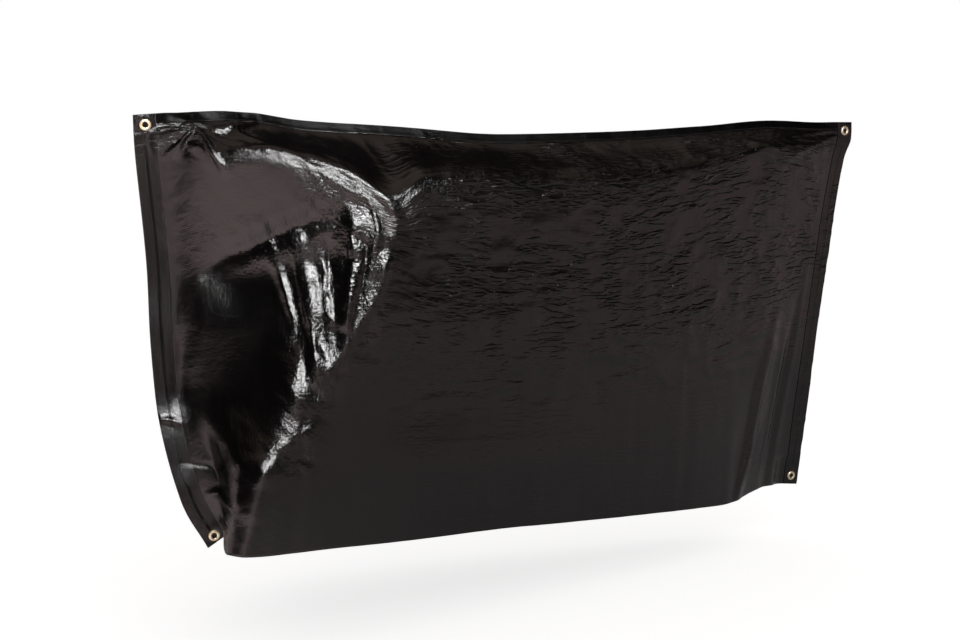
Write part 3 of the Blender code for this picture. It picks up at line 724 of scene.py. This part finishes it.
class Nodes:
    """A short way to fill a node tree: each call adds one node and links or sets its inputs."""

    def __init__(self, tree: bpy.types.NodeTree) -> None:
        """Keeps the tree."""
        self.tree = tree

    def add(self, kind: str, inputs: dict | None = None, **settings: object) -> bpy.types.Node:
        """Adds a node with these settings, then links or sets its inputs by name or number."""
        node = self.tree.nodes.new(kind)
        for key, value in settings.items():
            setattr(node, key, value)
        for key, value in (inputs or {}).items():
            if isinstance(value, Socket):
                self.tree.links.new(value, node.inputs[key])
            else:
                node.inputs[key].default_value = value
        return node

    def math(self, operation: str, *values: object, clamp: bool = False) -> Socket:
        """The result of a Math node on these values."""
        inputs = dict(enumerate(values))
        return self.add("ShaderNodeMath", inputs, operation=operation, use_clamp=clamp).outputs[0]

    def mix(self, share: object, low: Colour | Socket, high: Colour | Socket) -> Socket:
        """The colour between low and high at this share."""
        low, high = (end if isinstance(end, Socket) else (*end, 1) for end in (low, high))
        return self.add("ShaderNodeMix", {0: share, 6: low, 7: high}, data_type="RGBA").outputs[2]

    def noise(
        self, vector: object, scale: float, detail: float = 2.0, rough: float = 0.5, bend: float = 0.0
    ) -> Socket:
        """A noise texture's value."""
        inputs = {"Vector": vector, "Scale": scale, "Detail": detail}
        inputs |= {"Roughness": rough, "Distortion": bend}
        return self.add("ShaderNodeTexNoise", inputs).outputs["Fac"]

    def stretch(self, vector: object, scale: tuple[float, float, float], turn: float = 0.0) -> Socket:
        """The vector scaled along each axis and turned about the third."""
        inputs = {"Vector": vector, "Scale": scale, "Rotation": (0, 0, turn)}
        return self.add("ShaderNodeMapping", inputs).outputs[0]

    def ramp(
        self, value: object, low: float, high: float, start: float = 0.0, end: float = 1.0
    ) -> Socket:
        """The value taken from the range low..high to start..end, and kept within it."""
        inputs = {0: value, 1: low, 2: high, 3: start, 4: end}
        return self.add("ShaderNodeMapRange", inputs, interpolation_type="SMOOTHSTEP").outputs[0]


def new_group(
    name: str, inputs: dict[str, float | None], outputs: Sequence[str]
) -> tuple[Nodes, bpy.types.Node, bpy.types.Node]:
    """An empty shader node group with these sockets: None marks a vector input.

    Returns:
        The group's node helper, and its input and output nodes.
    """
    group = bpy.data.node_groups.new(name, "ShaderNodeTree")
    for label, default in inputs.items():
        kind = "NodeSocketVector" if default is None else "NodeSocketFloat"
        socket = group.interface.new_socket(label, in_out="INPUT", socket_type=kind)
        if default is not None:
            socket.default_value = default
    for label in outputs:
        group.interface.new_socket(label, in_out="OUTPUT", socket_type="NodeSocketFloat")
    nodes = Nodes(group)
    return nodes, nodes.add("NodeGroupInput"), nodes.add("NodeGroupOutput")


def new_material(name: str) -> tuple[Material, Nodes, bpy.types.Node]:
    """A new material, its node helper and its shader."""
    material = bpy.data.materials.new(name)
    material.use_nodes = True
    return material, Nodes(material.node_tree), material.node_tree.nodes["Principled BSDF"]


def tape_weave_group() -> bpy.types.NodeTree:
    """Flat tapes woven one over one: each tape is crowned, and a chequer says which one lies on top."""
    nodes, given, out = new_group("tape_weave", {"Place": None, "Pitch": 0.0027}, ["Height"])
    parts = nodes.add("ShaderNodeSeparateXYZ", {0: given.outputs["Place"]})
    across = nodes.math("DIVIDE", parts.outputs[0], given.outputs["Pitch"])
    down = nodes.math("DIVIDE", parts.outputs[1], given.outputs["Pitch"])
    waves = [nodes.math("SINE", nodes.math("MULTIPLY", value, np.pi)) for value in (across, down)]
    crowns = [nodes.math("ABSOLUTE", wave) for wave in waves]
    cell = nodes.math("ADD", nodes.math("FLOOR", across), nodes.math("FLOOR", down))
    over = nodes.math("FLOORED_MODULO", cell, 2.0)
    both = {0: over, 2: crowns[0], 3: crowns[1]}
    crowned = nodes.add("ShaderNodeMix", both, data_type="FLOAT").outputs[0]
    joined = nodes.math("MULTIPLY", crowned, nodes.math("POWER", nodes.math("MULTIPLY", *crowns), 0.35))
    nodes.tree.links.new(joined, out.inputs["Height"])
    return nodes.tree


def film_wrinkle_group() -> bpy.types.NodeTree:
    """Fine wrinkles of stiff film: level ones broken in columns, upright ones, facets and dimples."""
    kinds = ["Level", "Upright", "Facets", "Grain"]
    nodes, given, out = new_group("film_wrinkles", {"Place": None}, kinds)
    place = given.outputs["Place"]
    level = nodes.noise(nodes.stretch(place, (12, 64, 1), 0.05), 1.0, 2.0, 0.5, 0.25)
    broken = nodes.ramp(nodes.noise(nodes.stretch(place, (11, 9, 1)), 1.0, 3.0), 0.36, 0.60)
    off_middle = nodes.math("ABSOLUTE", nodes.math("SUBTRACT", level, 0.5))
    ridged = nodes.math("SUBTRACT", 1.0, nodes.math("MULTIPLY", off_middle, 9.0), clamp=True)
    upright = nodes.noise(nodes.stretch(place, (120, 7, 1)), 1.0, 2.0, 0.6)
    facets = nodes.add("ShaderNodeTexVoronoi", {"Vector": place, "Scale": 62.0}).outputs["Distance"]
    small = {"Vector": nodes.stretch(place, (165, 135, 1)), "Scale": 1.0, "Randomness": 0.75}
    grain = nodes.add("ShaderNodeTexVoronoi", small).outputs["Distance"]
    found = [nodes.math("MULTIPLY", ridged, broken), upright, facets, grain]
    for kind, value in zip(kinds, found):
        nodes.tree.links.new(value, out.inputs[kind])
    return nodes.tree


@dataclass(frozen=True)
class FilmFinish:
    """Black woven tape cloth under a glossy film."""

    name: str = "black_film"
    base: Colour = (0.0036, 0.0032, 0.0032)
    pale: Colour = (0.0068, 0.0060, 0.0058)
    roughness: Place = (0.11, 0.20)
    weave_height: float = 0.00011
    level_height: float = 0.00150
    upright_height: float = 0.00022
    facet_height: float = 0.0007
    grain_height: float = 0.00075
    specular: float = 0.5

    def make(self, weave: bpy.types.NodeTree, wrinkles: bpy.types.NodeTree) -> Material:
        """Builds the material: wrinkles and weave feed the bump, soft patches the colour and gloss.

        Args:
            weave: The tape weave group.
            wrinkles: The film wrinkle group.

        Returns:
            The new material.
        """
        material, nodes, shader = new_material(self.name)
        place = nodes.add("ShaderNodeUVMap", uv_map="cloth").outputs[0]
        flat = nodes.add("ShaderNodeSeparateXYZ", {0: place})
        woven = nodes.add("ShaderNodeGroup", node_tree=weave)
        creased = nodes.add("ShaderNodeGroup", node_tree=wrinkles)
        for node in (woven, creased):
            material.node_tree.links.new(place, node.inputs["Place"])
        patches = nodes.noise(place, 3.2, 4.0, 0.6)
        streaks = creased.outputs["Upright"]
        cloudy = nodes.math("ADD", nodes.math("MULTIPLY", patches, 0.6), nodes.math("MULTIPLY", streaks, 0.4))
        colour = nodes.mix(nodes.ramp(cloudy, 0.35, 0.65), self.base, self.pale)
        gloss = nodes.ramp(nodes.noise(place, 9.0, 5.0, 0.65), 0.3, 0.7, *self.roughness)
        behind_front = nodes.ramp(flat.outputs[0], 0.45, 0.75, 0.07)
        body = nodes.math("MULTIPLY", behind_front, nodes.ramp(flat.outputs[1], 0.40, 0.66, 1.0, 0.18))
        height = nodes.math("MULTIPLY", creased.outputs["Level"], body)
        height = nodes.math("MULTIPLY", height, self.level_height)
        crushed = nodes.add("ShaderNodeAttribute", attribute_name="crushed").outputs["Fac"]
        crushed = nodes.ramp(crushed, 0.0, 1.0, 0.3, 1.0)
        for socket, size in (
            (streaks, self.upright_height),
            (nodes.math("MULTIPLY", creased.outputs["Facets"], crushed), self.facet_height),
            (nodes.math("MULTIPLY", creased.outputs["Grain"], crushed), self.grain_height),
            (woven.outputs["Height"], self.weave_height),
        ):
            height = nodes.math("MULTIPLY_ADD", socket, size, height)
        bump = nodes.add("ShaderNodeBump", {"Height": height, "Distance": 1.0, "Strength": 1.0}).outputs[0]
        material.node_tree.links.new(colour, shader.inputs["Base Color"])
        material.node_tree.links.new(gloss, shader.inputs["Roughness"])
        material.node_tree.links.new(bump, shader.inputs["Normal"])
        shader.inputs["Specular IOR Level"].default_value = self.specular
        return material


@dataclass(frozen=True)
class BrassFinish:
    """Pressed brass, clouded between bright metal and dull tarnish."""

    name: str = "pale_brass"
    bright: Colour = (0.88, 0.80, 0.60)
    dull: Colour = (0.58, 0.47, 0.27)

    def make(self) -> Material:
        """Builds the material: cloudy tarnish feeds colour and roughness, fine scratches the bump."""
        material, nodes, shader = new_material(self.name)
        place = nodes.add("ShaderNodeTexCoord").outputs["Object"]
        cloud = nodes.ramp(nodes.noise(place, 160.0, 4.0, 0.6), 0.45, 0.68)
        colour = nodes.mix(cloud, self.bright, self.dull)
        rough = nodes.ramp(cloud, 0.0, 1.0, 0.34, 0.55)
        scratches = nodes.noise(nodes.stretch(place, (300, 1200, 2600)), 1.0, 3.0)
        bump = nodes.add("ShaderNodeBump", {"Height": scratches, "Distance": 0.00006}).outputs[0]
        material.node_tree.links.new(colour, shader.inputs["Base Color"])
        material.node_tree.links.new(rough, shader.inputs["Roughness"])
        material.node_tree.links.new(bump, shader.inputs["Normal"])
        shader.inputs["Metallic"].default_value = 1.0
        return material


@dataclass
class Finishes:
    """The finishes that the pieces share."""

    film: Material
    # seam and hem hold shaded copies of the film: darker and less glossy, as painted shade.
    seam: Material
    hem: Material
    thread: Material
    brass: Material

    @classmethod
    def build(cls) -> Finishes:
        """Builds the groups once and each material with its own values."""
        groups = tape_weave_group(), film_wrinkle_group()
        # The seam and turned hem finishes are shaded copies of the film: their darker base and lower gloss
        # are painted shade, strongest on the turned hem.
        shaded_band_film = FilmFinish("seam_film_painted_shade", (0.0030, 0.0027, 0.0027), (0.0055, 0.0050, 0.0048), specular=0.42)
        turned = replace(
            shaded_band_film, name="turned_hem_painted_shade", roughness=(0.20, 0.34), specular=0.07, level_height=0.0004
        )
        thread = FilmFinish(
            name="black_thread",
            base=(0.014, 0.013, 0.013),
            pale=(0.030, 0.028, 0.028),
            roughness=(0.45, 0.6),
            weave_height=0.0,
            level_height=0.0,
            facet_height=0.0,
            grain_height=0.0,
        )
        film, seam, hem, sewn = (finish.make(*groups) for finish in (FilmFinish(), shaded_band_film, turned, thread))
        return cls(film, seam, hem, sewn, BrassFinish().make())


@dataclass
class Panel:
    """One of the two large sheets, between the seam bands and the hem."""

    name: str
    face: Surface
    near_side: bool
    columns: tuple[int, int]
    rows: int
    front_stretch: float = 0.35

    def grid(self) -> tuple[Array, Array]:
        """Shares along and down, with the finer columns in the front stretch."""
        first, last = END_SHARE - TUCK / COVER_LENGTH, 1 - END_SHARE + TUCK / COVER_LENGTH
        in_front = np.linspace(first, self.front_stretch, self.columns[0] + 1)
        behind = np.linspace(self.front_stretch, last, self.columns[1] + 1)
        down = np.linspace(TOP_SHARE - TUCK / COVER_HEIGHT, 1.0, self.rows + 1)
        return np.concatenate([in_front, behind[1:]]), down

    def build(self, finish: Material) -> Piece:
        """Makes the sheet, its thickness inward: its edges sink into the seam bands."""
        along, down = self.grid()
        from_end = (np.minimum(along, 1 - along) - END_SHARE) * COVER_LENGTH
        from_top = (down - TOP_SHARE) * COVER_HEIGHT
        sunk_top = smoothstep(1 - from_top / TUCK)[None, :]
        sunk = np.maximum(smoothstep(1 - from_end / TUCK)[:, None], sunk_top)
        inward = inward_normals(self.face, along, down) * (1 if self.near_side else -1)
        points = self.face(along, down) + TUCK_DEPTH * sunk[..., None] * inward
        sheet = grid_piece(self.name, points, flat_places(along, down), finish, self.near_side)
        crushed = sheet.data.attributes.new("crushed", "FLOAT", "POINT")
        crushed.data.foreach_set("value", patch_mask(CRUMPLED, along, down).astype(np.float32).ravel())
        wall = sheet.modifiers.new("cloth", "SOLIDIFY")
        wall.thickness = CLOTH
        wall.offset = -1.0
        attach(sheet, "root")
        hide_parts(self.name.replace("cloth", "panel"))
        return sheet


@dataclass
class SeamBand:
    """A closed side: both turned edges sewn flat together, with a round outer edge and a stitched step."""

    name: str
    cloth: DrapedCloth
    cells: int
    round_steps: int = 6

    def profile(self) -> tuple[Array, Array]:
        """The closed section, from the inner side to the outer edge, round it and back.

        Returns:
            Distance in from the outer edge, and depth behind the face, both in metres.
        """
        wide = TOP_BAND if self.name == "top_seam" else END_BAND
        wide -= SEAM_GAP / 2
        radius = BAND_THICKNESS / 2
        inner = np.array([wide])
        if wide > TURNED_EDGE + 0.004:
            inner = np.linspace(wide, TURNED_EDGE + 0.0015, 7)
        turned = np.linspace(min(TURNED_EDGE, wide - 0.001), radius, 7)
        turn = np.linspace(-np.pi / 2, np.pi / 2, self.round_steps + 2)[1:-1]
        front = np.concatenate([inner, turned])
        raised = np.concatenate([np.zeros(len(inner)), np.full(len(turned), -TURNED_STEP)])
        inset = np.concatenate([front, radius - radius * np.cos(turn), front[::-1]])
        depth = np.concatenate([raised, radius + radius * np.sin(turn), BAND_THICKNESS - raised[::-1]])
        return inset, depth

    def build(self, finish: Material, hem: Material) -> Piece:
        """Sweeps the section along the side: face at the inset, and depth along the inward normal."""
        inset, depth = self.profile()
        if self.name == "top_seam":
            along = np.linspace(END_SHARE + HALF_GAP_ALONG, 1 - END_SHARE - HALF_GAP_ALONG, self.cells + 1)
            down = inset / COVER_HEIGHT
        else:
            along = inset / COVER_LENGTH if self.name == "front_seam" else 1 - inset / COVER_LENGTH
            down = np.linspace(0, 1, self.cells + 1)
        points = self.cloth.near_face(along, down)
        normals = inward_normals(self.cloth.near_base, along, down)
        places = flat_places(along, down)
        if self.name == "top_seam":
            points, normals, places = (a.transpose(1, 0, 2) for a in (points, normals, places))
        points = points + depth[:, None, None] * normals
        rows, columns = points.shape[:2]
        index = np.arange(rows * columns).reshape(rows, columns)
        after = np.roll(index, -1, axis=0)
        cells = np.stack([index[:, :-1], index[:, 1:], after[:, 1:], after[:, :-1]], axis=-1).reshape(-1, 4)
        half = rows // 2
        ends = []
        for side, turned in ((0, False), (columns - 1, True)):
            for row in range(half - 1):
                corners = (row, row + 1, rows - 2 - row, rows - 1 - row)
                cap = [index[corner, side] for corner in corners]
                ends.append(cap[::-1] if turned else cap)
        faces = np.concatenate([cells, np.array(ends)])
        if self.name in ("rear_seam", "top_seam"):
            faces = faces[:, ::-1]
        band = face_piece(self.name, points.reshape(-1, 3), faces, places.reshape(-1, 2), finish)
        band.data.set_sharp_from_angle(angle=np.radians(50))
        # The turned edge strips take the second material. On the top seam this is the shaded hem copy, whose
        # low gloss is painted shade.
        band.data.materials.append(hem)
        turned = (inset <= TURNED_EDGE)[:, None] & np.ones(columns, bool)
        on_hem = turned.ravel()[faces].all(axis=1)
        band.data.polygons.foreach_set("material_index", on_hem.astype(np.int32))
        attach(band, "root")
        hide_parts(self.name.replace("seam", "band"))
        return band


@dataclass
class StitchRow:
    """A row of lock stitches on a seam band, a set distance in from the outer edge."""

    name: str
    cloth: DrapedCloth
    side: str
    inset: float
    length: float = 0.0038
    gap: float = 0.0016
    thread: float = 0.0005
    sides: int = 6

    def line(self, share: Array) -> tuple[Array, Array]:
        """Places on the row for shares of its run, and the outward normals there."""
        if self.side == "top":
            along = END_SHARE + share * (1 - 2 * END_SHARE)
            down = np.array([self.inset / COVER_HEIGHT])
        else:
            aside = self.inset / COVER_LENGTH
            along = np.array([aside if self.side == "front" else 1 - aside])
            spare = EYELET_INSET / COVER_HEIGHT * 0.3
            down = spare + share * (1 - 2 * spare)
        points = self.cloth.near_face(along, down).reshape(-1, 3)
        normals = -inward_normals(self.cloth.near_base, along, down).reshape(-1, 3)
        return points, normals

    def build(self, finish: Material) -> Piece:
        """Each stitch is a bent tube of four rings that dips into the cloth at both ends, all joined."""
        run = COVER_LENGTH if self.side == "top" else COVER_HEIGHT
        count = int(run / (self.length + self.gap))
        start = np.arange(count) / count
        reach = self.length / run
        rings = np.array([0.0, 0.18, 0.5, 0.82, 1.0])
        lift = np.array([-0.6, 0.5, 0.9, 0.5, -0.6]) * self.thread
        swell = np.array([0.35, 0.95, 1.0, 0.95, 0.35]) * self.thread
        share = (start[:, None] + rings[None, :] * reach).ravel()
        points, normals = self.line(np.clip(share, 0, 1))
        points = points.reshape(count, len(rings), 3)
        normals = normals.reshape(count, len(rings), 3)
        way = points[:, -1:] - points[:, :1]
        way = way / np.linalg.norm(way, axis=2, keepdims=True)
        across = np.cross(normals, way)
        turn = (np.arange(self.sides) * 2 * np.pi / self.sides)[None, None, :, None]
        raised = lift + (TURNED_STEP if self.inset < TURNED_EDGE else 0.0)
        centre = points + raised[None, :, None] * normals
        out = np.cos(turn) * normals[:, :, None] + np.sin(turn) * across[:, :, None]
        tube = centre[:, :, None] + swell[None, :, None, None] * out
        index = np.arange(count * len(rings) * self.sides).reshape(count, len(rings), self.sides)
        after = np.roll(index, -1, axis=2)
        walls = np.stack([index[:, :-1], after[:, :-1], after[:, 1:], index[:, 1:]], axis=-1).reshape(-1, 4)
        caps = []
        for ring, flip in ((0, True), (len(rings) - 1, False)):
            for k in range(self.sides // 2 - 1):
                quad = index[:, ring][:, [k, k + 1, self.sides - 2 - k, self.sides - 1 - k]]
                caps.append(quad[:, ::-1] if flip else quad)
        faces = np.concatenate([walls, *caps])
        places = np.repeat(share.reshape(-1, 1), self.sides, axis=0) * np.array([[run, 0.0]])
        stitches = face_piece(self.name, tube.reshape(-1, 3), faces, places, finish)
        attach(stitches, "root")
        return stitches


@dataclass
class Eyelet:
    """A pressed brass eyelet: a collar with a rolled crown, and the washer behind it."""

    place: str
    hole_radius: float = 0.0060
    metal: float = 0.0006
    flange_radius: float = 0.0125
    crown_height: float = 0.0020
    washer: float = 0.0008
    washer_hole: float = 0.0074
    segments: int = 64

    def turned(self, name: str, section: Array, centre: Array, finish: Material) -> Piece:
        """A ring turned about the Y axis: centre plus radius times (cosine, sine), and depth along Y."""
        radius, depth = section
        turn = np.arange(self.segments) * 2 * np.pi / self.segments
        x = radius[None, :] * np.cos(turn)[:, None]
        z = radius[None, :] * np.sin(turn)[:, None]
        y = np.broadcast_to(depth[None, :], x.shape)
        points = np.stack([x, y, z], axis=-1) + centre
        index = np.arange(x.size).reshape(x.shape)
        around, on = np.roll(index, -1, axis=0), np.roll(index, -1, axis=1)
        both = np.roll(around, -1, axis=1)
        faces = np.stack([index, around, both, on], axis=-1).reshape(-1, 4)
        ring = face_piece(name, points.reshape(-1, 3), faces, points[..., [0, 2]].reshape(-1, 2), finish)
        ring.data.set_sharp_from_angle(angle=np.radians(55))
        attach(ring, "root")
        return ring

    def build(self, centre: Array, finish: Material) -> list[Piece]:
        """Makes the collar and the washer from their closed sections."""
        barrel = self.hole_radius + self.metal
        rim = self.flange_radius
        bend = np.linspace(0, np.pi, 9)
        crown_reach = (rim - self.metal - self.hole_radius) / 2
        crown = np.array([
            self.hole_radius + crown_reach - np.cos(bend) * crown_reach,
            -SEAM_GAP - HALF_EDGE - np.sin(bend) ** 0.8 * self.crown_height,
        ])
        lip = BAND_THICKNESS + 2 * SEAM_GAP + self.washer
        lip_radius = 0.0084
        rest = np.transpose([
            (rim, -SEAM_GAP - HALF_EDGE),
            (rim, -SEAM_GAP),
            (barrel, -SEAM_GAP),
            (barrel, lip),
            (lip_radius, lip),
            (lip_radius, lip + HALF_EDGE),
            (barrel, lip + self.metal),
            (self.hole_radius, lip + HALF_EDGE),
        ])
        name = f"brass_eyelet_{self.place}"
        collar = self.turned(name, np.concatenate([crown, rest], axis=1), centre, finish)
        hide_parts(f"eyelet_{self.place}")
        front = BAND_THICKNESS + SEAM_GAP
        disc = np.transpose([
            (self.washer_hole, front),
            (rim, front),
            (rim, front + self.washer / 2),
            (0.0112, front + 0.0007),
            (0.0095, front + self.washer),
            (self.washer_hole, front + self.metal),
        ])
        washer = self.turned(f"brass_washer_{self.place}", disc, centre, finish)
        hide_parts(f"washer_{self.place}")
        return [collar, washer]


@dataclass
class Studio:
    """The pale floor, the soft lights, the surroundings and the camera."""

    floor_height: float = -1.08
    floor_reach: float = 3.4
    floor_glow: float = 0.72
    floor_fill: float = 1.5
    warm: Colour = (1.0, 0.79, 0.77)
    diffuse: Colour = (0.43, 0.415, 0.41)
    pale_left: Colour = (1.75, 1.38, 1.35)
    pale_right: Colour = (0.57, 0.43, 0.43)
    dark: Colour = (0.006, 0.005, 0.005)
    zenith: Colour = (0.42, 0.33, 0.285)
    camera_place: tuple[float, float, float] = (-1.649, -3.289, 0.098)
    camera_pitch: float = 8.162
    camera_azimuth: float = 24.866
    lens: float = 55.1

    def build_floor(self) -> None:
        """A large pale floor, which glows for the camera, and for gloss on its near left part."""
        reach = self.floor_reach
        corners = [(-reach, -reach), (reach, -reach), (reach, reach), (-reach, reach)]
        mesh = bpy.data.meshes.new("studio_floor")
        mesh.from_pydata([(x, y, self.floor_height) for x, y in corners], [], [(0, 1, 2, 3)])
        floor = bpy.data.objects.new("studio_floor", mesh)
        material = bpy.data.materials.new("studio_paper")
        material.use_nodes = True
        shader = material.node_tree.nodes["Principled BSDF"]
        shader.inputs["Base Color"].default_value = (0.80, 0.80, 0.80, 1)
        shader.inputs["Roughness"].default_value = 0.9
        nodes = Nodes(material.node_tree)
        path = nodes.add("ShaderNodeLightPath")
        spot = nodes.add("ShaderNodeSeparateXYZ", {0: nodes.add("ShaderNodeTexCoord").outputs["Object"]})
        near_part = nodes.ramp(spot.outputs[1], -0.7, -0.2, 1.0, 0.0)
        lit = nodes.math("MULTIPLY", path.outputs["Is Glossy Ray"], near_part)
        fill = nodes.math("MULTIPLY", lit, nodes.ramp(spot.outputs[0], -1.5, 0.1, self.floor_fill, 0.0))
        glow = nodes.math("MULTIPLY_ADD", path.outputs["Is Camera Ray"], self.floor_glow, fill)
        tint = nodes.mix(path.outputs["Is Glossy Ray"], (1, 1, 1), self.warm)
        material.node_tree.links.new(tint, shader.inputs["Emission Color"])
        material.node_tree.links.new(glow, shader.inputs["Emission Strength"])
        mesh.materials.append(material)
        bpy.context.scene.collection.objects.link(floor)
        floor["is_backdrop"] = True

    def build_surroundings(self) -> None:
        """White for the camera, and for gloss a pale horizon, a dark ceiling and a dim zenith.

        The pale part ends at a height that changes with the azimuth, and so does the blur of its edge.
        """
        world = bpy.data.worlds.new("studio")
        world.use_nodes = True
        tree = world.node_tree
        tree.nodes.clear()
        nodes = Nodes(tree)
        way = nodes.add("ShaderNodeSeparateXYZ", {0: nodes.add("ShaderNodeTexCoord").outputs["Generated"]})
        x, y, z = way.outputs
        azimuth = nodes.math("ARCTAN2", x, nodes.math("MULTIPLY", y, -1.0))
        left_top = nodes.ramp(azimuth, -0.90, -0.05, 0.05, 0.21)
        beside = nodes.math("ABSOLUTE", nodes.math("ADD", azimuth, 0.09))
        raised_top = nodes.math("ADD", left_top, nodes.ramp(beside, 0.06, 0.16, 0.13, 0.0))
        pale_top = nodes.math("SUBTRACT", raised_top, nodes.ramp(azimuth, 0.20, 0.60, 0.0, 0.08))
        above = nodes.math("SUBTRACT", z, pale_top)
        blur = nodes.ramp(azimuth, -0.30, 0.50, 0.035, 0.10)
        dark = nodes.ramp(nodes.math("DIVIDE", above, blur), -1.0, 1.0)
        side = nodes.ramp(azimuth, -0.35, 0.40)
        pale = nodes.mix(side, self.pale_left, self.pale_right)
        gloss = nodes.mix(dark, pale, self.dark)
        gloss = nodes.mix(nodes.ramp(z, 0.74, 0.92), gloss, self.zenith)
        path = nodes.add("ShaderNodeLightPath")
        shown = nodes.mix(path.outputs["Is Glossy Ray"], self.diffuse, gloss)
        seen = nodes.mix(path.outputs["Is Camera Ray"], shown, (1, 1, 1))
        back = nodes.add("ShaderNodeBackground", {"Color": seen, "Strength": 1.0})
        nodes.add("ShaderNodeOutputWorld", {"Surface": back.outputs[0]})
        bpy.context.scene.world = world

    def add_softbox(
        self, name: str, azimuth: float, elevation: float, distance: float, size: Place, radiance: float
    ) -> None:
        """A rectangular lamp aimed at the handlebar.

        Args:
            name: The lamp's name.
            azimuth: Degrees to the right of -Y.
            elevation: Degrees above the handlebar.
            distance: Metres to the handlebar.
            size: Width and height in metres.
            radiance: How bright its face is.
        """
        target = np.array([-0.5, -0.2, -0.2])
        turn, rise = np.radians(azimuth), np.radians(elevation)
        way = np.array([np.sin(turn) * np.cos(rise), -np.cos(turn) * np.cos(rise), np.sin(rise)])
        lamp = bpy.data.lights.new(name, "AREA")
        lamp.shape = "RECTANGLE"
        lamp.size, lamp.size_y = size
        lamp.energy = radiance * np.pi * size[0] * size[1]
        holder = bpy.data.objects.new(name, lamp)
        holder.visible_diffuse = False
        holder.location = target + way * distance
        holder.rotation_euler = (np.radians(90) - rise, 0, turn)
        bpy.context.scene.collection.objects.link(holder)

    def build_camera(self) -> None:
        """The camera, off the near side's front end, looking a little down."""
        data = bpy.data.cameras.new("camera")
        data.lens = self.lens
        data.sensor_width = 36.0
        camera = bpy.data.objects.new("camera", data)
        camera.location = self.camera_place
        turn = -np.radians(self.camera_azimuth)
        camera.rotation_euler = (np.radians(90 - self.camera_pitch), 0, turn)
        bpy.context.scene.collection.objects.link(camera)
        bpy.context.scene.camera = camera

    def build(self) -> None:
        """Sets the whole studio up."""
        self.build_floor()
        self.build_surroundings()
        self.add_softbox("key_box", 4.0, 39.0, 3.2, (1.85, 0.60), 46.0)
        self.build_camera()
        bpy.context.scene.view_settings.view_transform = "Standard"


def main() -> None:
    """Builds the cover piece by piece, then the studio."""
    logging.basicConfig(level=logging.INFO, format="%(name)s: %(message)s")
    finishes = Finishes.build()
    cloth = DrapedCloth()
    near = Panel("near_cloth", cloth.near_face, True, (142, 166), 156).build(finishes.film)
    far = Panel("far_cloth", cloth.far_face, False, (96, 120), 112).build(finishes.film)
    bands = [
        SeamBand("front_seam", cloth, 340).build(finishes.seam, finishes.seam),
        SeamBand("rear_seam", cloth, 340).build(finishes.seam, finishes.seam),
        SeamBand("top_seam", cloth, 520).build(finishes.seam, finishes.hem),
    ]
    runs = {
        "front_outer": ("front", OUTER_ROW),
        "front_inner": ("front", INNER_ROW),
        "rear_outer": ("rear", OUTER_ROW),
        "rear_inner": ("rear", INNER_ROW),
        "top": ("top", OUTER_ROW),
    }
    rows = [
        StitchRow(f"stitches_{name}", cloth, side, inset).build(finishes.thread)
        for name, (side, inset) in runs.items()
    ]
    metal = []
    for place, (place_along, place_down) in EYELET_PLACES.items():
        centre = cloth.near_base(np.array([place_along]), np.array([place_down]))[0, 0]
        metal += Eyelet(place).build(centre, finishes.brass)
    Studio().build()
    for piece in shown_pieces():
        LOG.info("%s: %d vertices", piece.name, len(piece.data.vertices))


if __name__ == "__main__":
    main()
